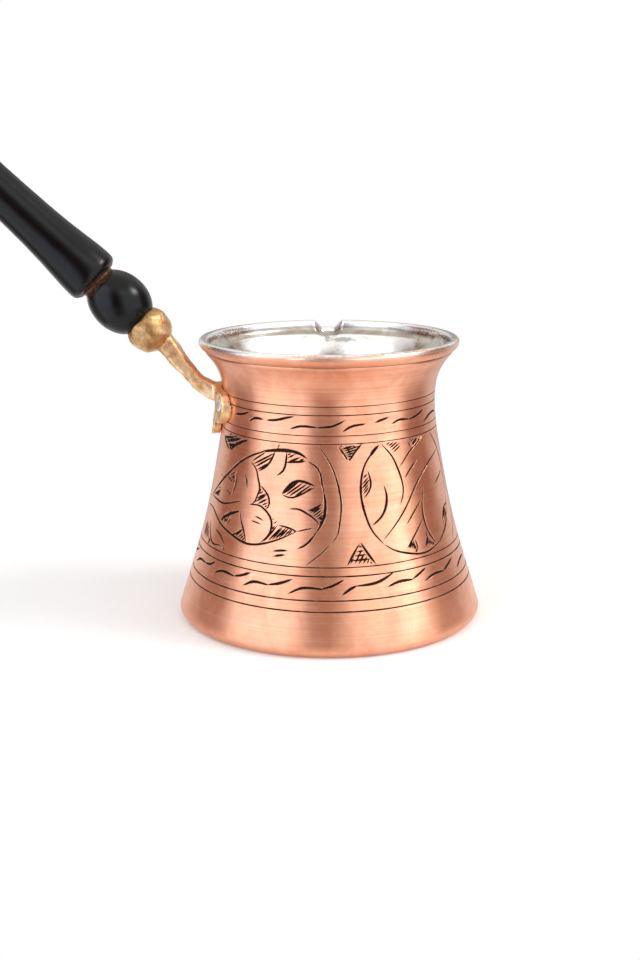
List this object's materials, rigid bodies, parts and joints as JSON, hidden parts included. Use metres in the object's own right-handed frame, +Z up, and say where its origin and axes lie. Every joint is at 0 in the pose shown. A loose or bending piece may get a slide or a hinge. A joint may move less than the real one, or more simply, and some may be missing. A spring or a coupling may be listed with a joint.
{
  "type": "turkish coffee pot",
  "caption": "Waisted copper coffee pot (cezve) with tinned inside and pressed pouring lip, on a long rising turned wooden handle held by a riveted cast brass bracket.",
  "frame": {"origin": "centre of the flat base, on the surface the pot stands on", "axes": "+Z up out of the mouth, -X towards the handle, +Y towards the pouring lip"},
  "size_m": [0.1795, 0.085, 0.165],
  "materials": {
    "copper": "satin",
    "tin": "satin",
    "cast_brass": "satin",
    "rivet_metal": "satin",
    "stud_steel": "satin",
    "black_wood": "satin",
    "wire_brass": "satin"
  },
  "bodies": {
    "root": {"copper_body": "copper", "tin_lining": "tin", "handle_bracket": "cast_brass", "rivet_right": "rivet_metal", "rivet_left": "rivet_metal", "handle_stud": "stud_steel", "wood_grip": "black_wood", "hanging_eye": "wire_brass"}
  },
  "joints": []
}
